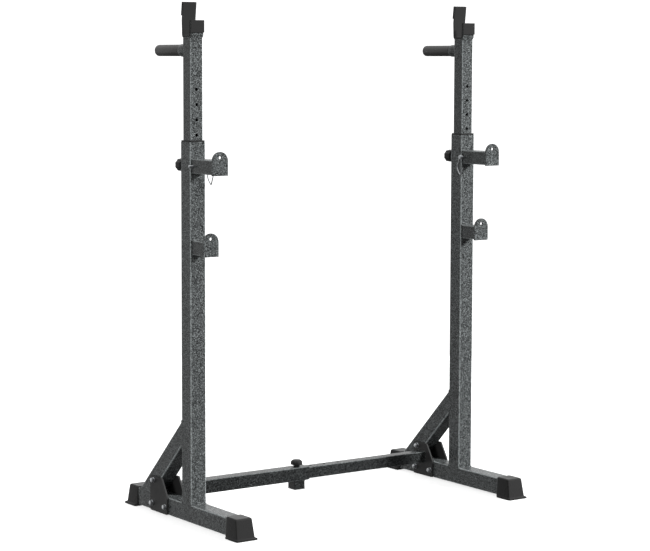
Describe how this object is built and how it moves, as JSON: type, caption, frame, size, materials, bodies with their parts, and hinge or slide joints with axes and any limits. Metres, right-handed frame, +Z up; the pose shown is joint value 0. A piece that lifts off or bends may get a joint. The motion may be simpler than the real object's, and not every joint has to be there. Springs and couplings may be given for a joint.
{
  "type": "squat stand",
  "caption": "Adjustable squat stand with braced uprights, telescoping posts, lined bar cups, short catch arms and rear hand grips, joined by a telescoping crossbar.",
  "frame": {"origin": "on the floor, at the middle of the stand seen from above", "axes": "+Z up; the user stands on the -Y side, and the braces and hand grips point to +Y; +X runs from the left stand to the right stand"},
  "size_m": [1.0254, 0.604, 1.4445],
  "materials": {
    "frame_paint": "dark grey hammertone, semi-gloss",
    "crossbar_paint": "darker grey hammertone, semi-gloss",
    "black_paint": "satin",
    "black_plastic": "satin",
    "grip_rubber": "matte",
    "zinc": "bright zinc plate"
  },
  "bodies": {
    "left_stand": {"left_base_tube": "frame_paint", "left_upright_tube": "frame_paint", "left_brace_tube": "frame_paint", "left_front_foot": "black_plastic", "left_rear_foot": "black_plastic", "left_upright_sleeve": "black_plastic", "left_outer_gusset": "black_paint", "left_inner_gusset": "black_paint", "left_front_bolt": "zinc", "left_rear_bolt": "zinc", "left_brace_bolt": "zinc", "left_upper_arm_tube": "frame_paint", "left_upper_arm_plate": "frame_paint", "left_lower_arm_tube": "frame_paint", "left_lower_arm_plate": "frame_paint", "left_arm_stub": "frame_paint", "left_plunger_housing": "frame_paint", "left_plunger_spring": "zinc", "crossbar_outer_tube": "crossbar_paint", "crossbar_sleeve": "black_plastic", "crossbar_nut_block": "crossbar_paint"},
    "left_post": {"left_post_tube": "frame_paint", "left_bar_cup": "frame_paint", "left_cup_liner": "black_plastic", "left_handle_bar": "frame_paint", "left_handle_grip": "grip_rubber"},
    "left_plunger": {"left_plunger_pin": "zinc", "left_plunger_knob": "black_plastic"},
    "left_lock_pin": {"left_lock_pin": "zinc"},
    "left_pin_wire": {"left_pin_wire": "zinc"},
    "right_stand": {"right_base_tube": "frame_paint", "right_upright_tube": "frame_paint", "right_brace_tube": "frame_paint", "right_front_foot": "black_plastic", "right_rear_foot": "black_plastic", "right_upright_sleeve": "black_plastic", "right_outer_gusset": "black_paint", "right_inner_gusset": "black_paint", "right_front_bolt": "zinc", "right_rear_bolt": "zinc", "right_brace_bolt": "zinc", "right_upper_arm_tube": "frame_paint", "right_upper_arm_plate": "frame_paint", "right_lower_arm_tube": "frame_paint", "right_lower_arm_plate": "frame_paint", "right_arm_stub": "frame_paint", "right_plunger_housing": "frame_paint", "right_plunger_spring": "zinc", "crossbar_inner_tube": "crossbar_paint"},
    "right_post": {"right_post_tube": "frame_paint", "right_bar_cup": "frame_paint", "right_cup_liner": "black_plastic", "right_handle_bar": "frame_paint", "right_handle_grip": "grip_rubber"},
    "right_plunger": {"right_plunger_pin": "zinc", "right_plunger_knob": "black_plastic"},
    "right_lock_pin": {"right_lock_pin": "zinc"},
    "right_pin_wire": {"right_pin_wire": "zinc"},
    "crossbar_knob": {"crossbar_knob": "black_plastic", "crossbar_bolt": "zinc"}
  },
  "joints": [
    {"name": "stand_spread", "type": "slide", "parent": "left_stand", "child": "right_stand", "axis": [1, 0, 0], "range_m": [-0.15, 0.15]},
    {"name": "left_post_height", "type": "slide", "parent": "left_stand", "child": "left_post", "axis": [0, 0, 1], "range_m": [-0.21, 0.042]},
    {"name": "left_plunger_pull", "type": "slide", "parent": "left_stand", "child": "left_plunger", "axis": [0, 1, 0], "range_m": [0, 0.01], "stiffness_N_per_m": 1500, "springref_m": -0.004, "deforming": ["left_plunger_spring"]},
    {"name": "left_lock_pin_pull", "type": "slide", "parent": "left_stand", "child": "left_lock_pin", "axis": [1, 0, 0], "range_m": [0, 0.075]},
    {"name": "left_wire_swing", "type": "hinge", "parent": "left_lock_pin", "child": "left_pin_wire", "pos_m": [-0.441, -0.0625, 0.9965], "axis": [1, 0, 0], "continuous": true},
    {"name": "right_post_height", "type": "slide", "parent": "right_stand", "child": "right_post", "axis": [0, 0, 1], "range_m": [-0.21, 0.042]},
    {"name": "right_plunger_pull", "type": "slide", "parent": "right_stand", "child": "right_plunger", "axis": [0, 1, 0], "range_m": [0, 0.01], "stiffness_N_per_m": 1500, "springref_m": -0.004, "deforming": ["right_plunger_spring"]},
    {"name": "right_lock_pin_pull", "type": "slide", "parent": "right_stand", "child": "right_lock_pin", "axis": [-1, 0, 0], "range_m": [0, 0.075]},
    {"name": "right_wire_swing", "type": "hinge", "parent": "right_lock_pin", "child": "right_pin_wire", "pos_m": [0.441, -0.0625, 0.9965], "axis": [1, 0, 0], "continuous": true},
    {"name": "crossbar_knob_turn", "type": "hinge", "parent": "left_stand", "child": "crossbar_knob", "pos_m": [-0.027, 0.11815, 0.0843], "axis": [0, 0, 1], "continuous": true}
  ]
}
